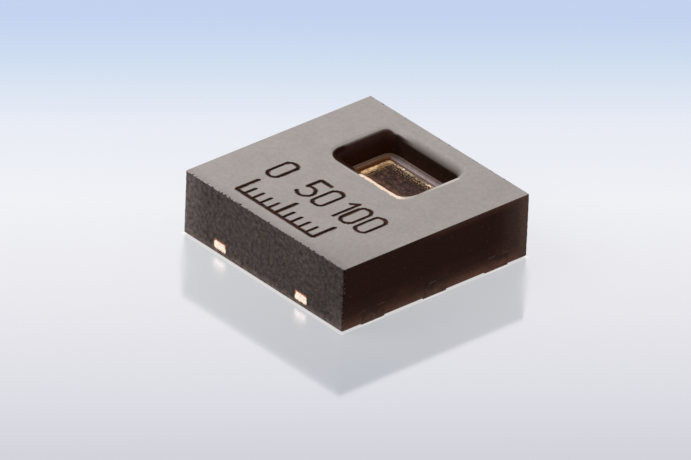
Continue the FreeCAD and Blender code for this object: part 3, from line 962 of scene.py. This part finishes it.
# Section of the dam: level under the housing's edge, then the raised bead, as (inset, level)
DAM_TOP = 0.560
DAM_PROFILE = [
    (-DAM_COVER, DIE_TOP),
    (-DAM_COVER, DAM_TOP),
    (0.004, DAM_TOP),
    (0.014, 0.5575),
    (0.032, 0.5570),
    (0.042, 0.5595),
    (0.050, 0.5620),
    (0.058, 0.5600),
    (0.063, 0.5530),
    (0.067, 0.5350),
    (0.072, DIE_TOP),
]
DAM_WAVE = 0.0025


def dam_piece():
    """Dam of photoresist with a raised bead along its inner edge."""

    def shaped(x, y, level):
        wave = 0.0 if level in (DIE_TOP, DAM_TOP) else DAM_WAVE
        return x + wave * wobble(x, y, 0, 0.10, 7.1), y + wave * wobble(x, y, 0, 0.10, 8.3), level

    piece_from(band(DAM_PROFILE, shaped), "dam_body", "dam_polymer", "dam_frame", smooth_angle=50)


# Ring: insets of its edges, and the lift of its outer edge and how fast that ends
RING_OUTER = 0.116
RING_INNER = 0.186
RING_LIFT = 0.014
RING_LIFT_FADE = 2.2
RING_STEPS = 9
RING_RAGGED = 0.010
RING_RELIEF = 0.0035


def ring_piece():
    """Ring of rough gold with ragged edges, lifted along its outer edge."""
    inside = RING_INNER - RING_OUTER
    profile = [(RING_OUTER, DIE_TOP)]
    for i in range(RING_STEPS + 1):
        lift = RING_LIFT * max(0.0, 1 - RING_LIFT_FADE * i / RING_STEPS)
        profile.append((RING_OUTER + inside * i / RING_STEPS, RING_TOP + lift))
    profile.append((RING_INNER, DIE_TOP))

    def shaped(x, y, level):
        x += RING_RAGGED * wobble(x, y, 0, 0.035, 1.9)
        y += RING_RAGGED * wobble(x, y, 0, 0.035, 3.7)
        if level > DIE_TOP:
            level += RING_RELIEF * (wobble(x, y, 0, 0.022, 5.1) + 0.5 * wobble(x, y, 0, 0.011, 2.8))
        return x, y, level

    piece_from(band(profile, shaped), "ring_body", "gold", "guard_ring", smooth_angle=60)


# Porous layer: its grid and how far that reaches past the outline, its levels, and its outline
POROUS_STEP = 0.0125
POROUS_MARGIN = 0.03
POROUS_JOG = 0.3 * POROUS_STEP
POROUS_LEVEL = 0.5185
POROUS_BOTTOM = 0.5150
POROUS_RELIEF = 0.006
POROUS_RAGGED = 0.020
POROUS_LEFT = WINDOW_LEFT + 0.190
POROUS_RIGHT = WINDOW_RIGHT - 0.185
POROUS_FRONT = WINDOW_FRONT + 0.185
POROUS_BACK = WINDOW_BACK - 0.134
POROUS_RADIUS = 0.072


def depth_inside(x, y):
    """Distance of a point inside the porous layer's rounded outline."""
    half_x = (POROUS_RIGHT - POROUS_LEFT) / 2 - POROUS_RADIUS
    half_y = (POROUS_BACK - POROUS_FRONT) / 2 - POROUS_RADIUS
    over_x = abs(x - (POROUS_LEFT + POROUS_RIGHT) / 2) - half_x
    over_y = abs(y - (POROUS_FRONT + POROUS_BACK) / 2) - half_y
    outside = math.hypot(max(over_x, 0), max(over_y, 0)) + min(max(over_x, over_y), 0)
    return POROUS_RADIUS - outside


def porous_piece():
    """Crumbly porous layer with a ragged outline that laps over the ring in places."""
    bm = bmesh.new()
    columns = round((POROUS_RIGHT - POROUS_LEFT + 2 * POROUS_MARGIN) / POROUS_STEP)
    rows = round((POROUS_BACK - POROUS_FRONT + 2 * POROUS_MARGIN) / POROUS_STEP)
    grid = {}
    for i in range(columns + 1):
        for j in range(rows + 1):
            x = POROUS_LEFT - POROUS_MARGIN + i * POROUS_STEP
            y = POROUS_FRONT - POROUS_MARGIN + j * POROUS_STEP
            ragged = POROUS_RAGGED * (wobble(x, y, 0, 0.045, 4.9) + 0.6 * wobble(x, y, 0, 0.02, 9.7))
            if depth_inside(x, y) + ragged < 0:
                continue
            relief = wobble(x, y, 0, 0.050, 6.1) + wobble(x, y, 0, 0.024, 8.8)
            level = POROUS_LEVEL + POROUS_RELIEF * max(-0.5, relief)
            moved_x = x + POROUS_JOG * wobble(x, y, 0, 0.011, 1.1)
            moved_y = y + POROUS_JOG * wobble(x, y, 0, 0.011, 2.1)
            grid[i, j] = bm.verts.new(mm(moved_x, moved_y, level))
    for i, j in grid:
        square = [grid.get((i + a, j + b)) for a, b in ((0, 0), (1, 0), (1, 1), (0, 1))]
        if None not in square:
            bm.faces.new(square)
    loose = [vertex for vertex in bm.verts if not vertex.link_faces]
    bmesh.ops.delete(bm, geom=loose, context="VERTS")
    top = bmesh.ops.extrude_face_region(bm, geom=bm.faces[:])
    for item in top["geom"]:
        if isinstance(item, bmesh.types.BMVert):
            item.co.z = POROUS_BOTTOM * MM
    piece_from(bm, "porous_body", "porous_metal", "upper_electrode", smooth_angle=60)


dam_piece()
ring_piece()
porous_piece()


# CAD nodes


def dress_nodes():
    """Materials for the CAD nodes, also for those that a piece stands for."""
    for part in frame["record"]["subparts"]:
        data = frame["nodes"][part["node"]].data
        data.materials.clear()
        data.materials.append(looks[part["material_slot"]])


dress_nodes()


# Floor, world and light

# Reflection in the floor: its strength, and its distance from the middle and roughness, near and far
FLOOR_MIRROR = (0.251, 0.224, 0.230)
FLOOR_MIRROR_NEAR = (BODY_HALF + 0.35, 0.32)
FLOOR_MIRROR_FAR = (BODY_HALF + 1.05, 0.10)

# Painted highlight: a pale line on the floor round the housing's foot
FLOOR_GLEAM = (0.84, 0.80, 0.78)
GLEAM_WIDTH = 0.034
GLEAM_SHARE = 0.6

# Share of the floor's colour that the lamps light, half its side in metres, and its gap below the part
FLOOR_LIT = 0.17
FLOOR_HALF = 0.3
FLOOR_DROP = 0.0005

# Floor's display colours from the front to the back, by row of the picture
FLOOR_STOPS = [
    (450, (212, 212, 220)),
    (400, (221, 221, 229)),
    (300, (234, 233, 238)),
    (200, (241, 242, 246)),
    (120, (232, 236, 245)),
    (60, (209, 223, 241)),
    (10, (196, 211, 240)),
]


def floor_depth(row):
    """Distance up the picture of a row, measured on the floor from the origin."""
    base = CENTRE_PIXEL[1] + BODY_TOP / 2 * math.cos(math.radians(ELEVATION)) * PIXELS_PER_MM
    return (base - row) / PIXELS_PER_MM / math.sin(math.radians(ELEVATION))


def floor_colour(levels):
    """Floor colour that, lit and with its reflection added, shows as the given display levels."""
    shown = WORLD_LIGHT + KEY_LEVEL * KEY_DIRECTION.z
    level = 1 - FLOOR_LIT + FLOOR_LIT * shown
    return tuple((c - m * seen) / level for c, m, seen in zip(srgb(*levels), FLOOR_MIRROR, WORLD_SEEN))


def floor_look():
    """Pale glossy floor whose colour runs from cool blue at the back to light grey in front."""
    material = bpy.data.materials.new("floor_finish")
    material.use_nodes = True
    tree = material.node_tree
    nodes = tree.nodes
    nodes.clear()

    def add(kind, **properties):
        made = nodes.new(kind)
        for name, value in properties.items():
            setattr(made, name, value)
        return made

    def mixed(share, one, two):
        made = add("ShaderNodeMixShader")
        if isinstance(share, float):
            made.inputs[0].default_value = share
        else:
            tree.links.new(share, made.inputs[0])
        tree.links.new(one.outputs[0], made.inputs[1])
        tree.links.new(two.outputs[0], made.inputs[2])
        return made

    depth = add("ShaderNodeVectorMath", operation="DOT_PRODUCT")
    tree.links.new(add("ShaderNodeTexCoord").outputs["Object"], depth.inputs[0])
    depth.inputs[1].default_value = Vector((up_axis.x, up_axis.y, 0)) / math.sin(math.radians(ELEVATION))
    front = floor_depth(FLOOR_STOPS[0][0])
    back = floor_depth(FLOOR_STOPS[-1][0])
    scale = add("ShaderNodeMapRange")
    tree.links.new(depth.outputs["Value"], scale.inputs["Value"])
    scale.inputs["From Min"].default_value = front * MM
    scale.inputs["From Max"].default_value = back * MM
    ramp = add("ShaderNodeValToRGB")
    tree.links.new(scale.outputs["Result"], ramp.inputs["Fac"])
    elements = ramp.color_ramp.elements
    while len(elements) < len(FLOOR_STOPS):
        elements.new(1.0)
    for element, (row, levels) in zip(elements, FLOOR_STOPS):
        element.position = (floor_depth(row) - front) / (back - front)
        element.color = (*floor_colour(levels), 1)

    apart = add("ShaderNodeSeparateXYZ")
    away = add("ShaderNodeVectorMath", operation="ABSOLUTE")
    tree.links.new(add("ShaderNodeTexCoord").outputs["Object"], away.inputs[0])
    tree.links.new(away.outputs[0], apart.inputs[0])
    out = add("ShaderNodeMath", operation="MAXIMUM")
    tree.links.new(apart.outputs["X"], out.inputs[0])
    tree.links.new(apart.outputs["Y"], out.inputs[1])
    # Painted highlight: the pale line round the housing's foot.
    gleam = add("ShaderNodeMapRange", interpolation_type="SMOOTHSTEP")
    tree.links.new(out.outputs["Value"], gleam.inputs["Value"])
    gleam.inputs["From Min"].default_value = (BODY_HALF + GLEAM_WIDTH) * MM
    gleam.inputs["From Max"].default_value = (BODY_HALF + GLEAM_WIDTH / 2) * MM
    gleam.inputs["To Max"].default_value = GLEAM_SHARE
    pale_line = add("ShaderNodeMix", data_type="RGBA")
    tree.links.new(gleam.outputs["Result"], pale_line.inputs[0])
    tree.links.new(ramp.outputs["Color"], pale_line.inputs[6])
    pale_line.inputs[7].default_value = (*FLOOR_GLEAM, 1)

    diffuse = add("ShaderNodeBsdfDiffuse")
    glow = add("ShaderNodeEmission")
    tree.links.new(pale_line.outputs[2], diffuse.inputs["Color"])
    tree.links.new(pale_line.outputs[2], glow.inputs["Color"])
    mirror = add("ShaderNodeBsdfGlossy", distribution="BECKMANN")
    blur = add("ShaderNodeMapRange")
    tree.links.new(out.outputs["Value"], blur.inputs["Value"])
    blur.inputs["From Min"].default_value = FLOOR_MIRROR_NEAR[0] * MM
    blur.inputs["From Max"].default_value = FLOOR_MIRROR_FAR[0] * MM
    blur.inputs["To Min"].default_value = FLOOR_MIRROR_NEAR[1]
    blur.inputs["To Max"].default_value = FLOOR_MIRROR_FAR[1]
    tree.links.new(blur.outputs["Result"], mirror.inputs["Roughness"])
    mirror.inputs["Color"].default_value = (*FLOOR_MIRROR, 1)
    path = add("ShaderNodeLightPath")
    seen = add("ShaderNodeMath", operation="MAXIMUM")
    tree.links.new(path.outputs["Is Camera Ray"], seen.inputs[0])
    tree.links.new(path.outputs["Is Glossy Ray"], seen.inputs[1])
    pale = mixed(seen.outputs["Value"], diffuse, mixed(1 - FLOOR_LIT, diffuse, glow))
    both = add("ShaderNodeAddShader")
    tree.links.new(pale.outputs[0], both.inputs[0])
    tree.links.new(mirror.outputs[0], both.inputs[1])
    under = add("ShaderNodeNewGeometry").outputs["Backfacing"]
    surface = mixed(under, both, add("ShaderNodeBsdfTransparent"))
    tree.links.new(surface.outputs[0], add("ShaderNodeOutputMaterial").inputs["Surface"])
    return material


def make_floor():
    mesh = bpy.data.meshes.new("floor")
    half = FLOOR_HALF
    corners = [(-half, -half, 0), (half, -half, 0), (half, half, 0), (-half, half, 0)]
    mesh.from_pydata(corners, [], [(0, 1, 2, 3)])
    mesh.materials.append(floor_look())
    floor = bpy.data.objects.new("floor", mesh)
    floor.location.z = -FLOOR_DROP * MM
    scene.collection.objects.link(floor)


def make_world():
    """Even pale surroundings: dimmer as a light than as they are seen or mirrored."""
    world = bpy.data.worlds.new("studio")
    scene.world = world
    world.use_nodes = True
    tree = world.node_tree
    background = tree.nodes["Background"]
    seen = tree.nodes.new("ShaderNodeBackground")
    seen.inputs["Color"].default_value = (*WORLD_SEEN, 1)
    background.inputs["Color"].default_value = (1, 1, 1, 1)
    background.inputs["Strength"].default_value = WORLD_LIGHT
    path = tree.nodes.new("ShaderNodeLightPath")
    either = tree.nodes.new("ShaderNodeMath")
    either.operation = "MAXIMUM"
    mixed = tree.nodes.new("ShaderNodeMixShader")
    tree.links.new(path.outputs["Is Camera Ray"], either.inputs[0])
    tree.links.new(path.outputs["Is Glossy Ray"], either.inputs[1])
    tree.links.new(either.outputs[0], mixed.inputs[0])
    tree.links.new(background.outputs[0], mixed.inputs[1])
    tree.links.new(seen.outputs[0], mixed.inputs[2])
    tree.links.new(mixed.outputs[0], tree.nodes["World Output"].inputs["Surface"])


def key_light():
    """Soft square lamp that lights a surface facing it by the key's share of its colour."""
    data = bpy.data.lights.new("key", "AREA")
    data.shape = "SQUARE"
    data.size = KEY_SIDE * MM
    data.energy = KEY_LEVEL * (math.pi * KEY_DISTANCE * MM) ** 2
    light = bpy.data.objects.new("key", data)
    scene.collection.objects.link(light)
    light.location = mm(0, 0, BODY_TOP / 2) + KEY_DIRECTION * KEY_DISTANCE * MM
    light.rotation_mode = "QUATERNION"
    light.rotation_quaternion = KEY_DIRECTION.to_track_quat("Z", "Y")


make_floor()
make_world()
key_light()
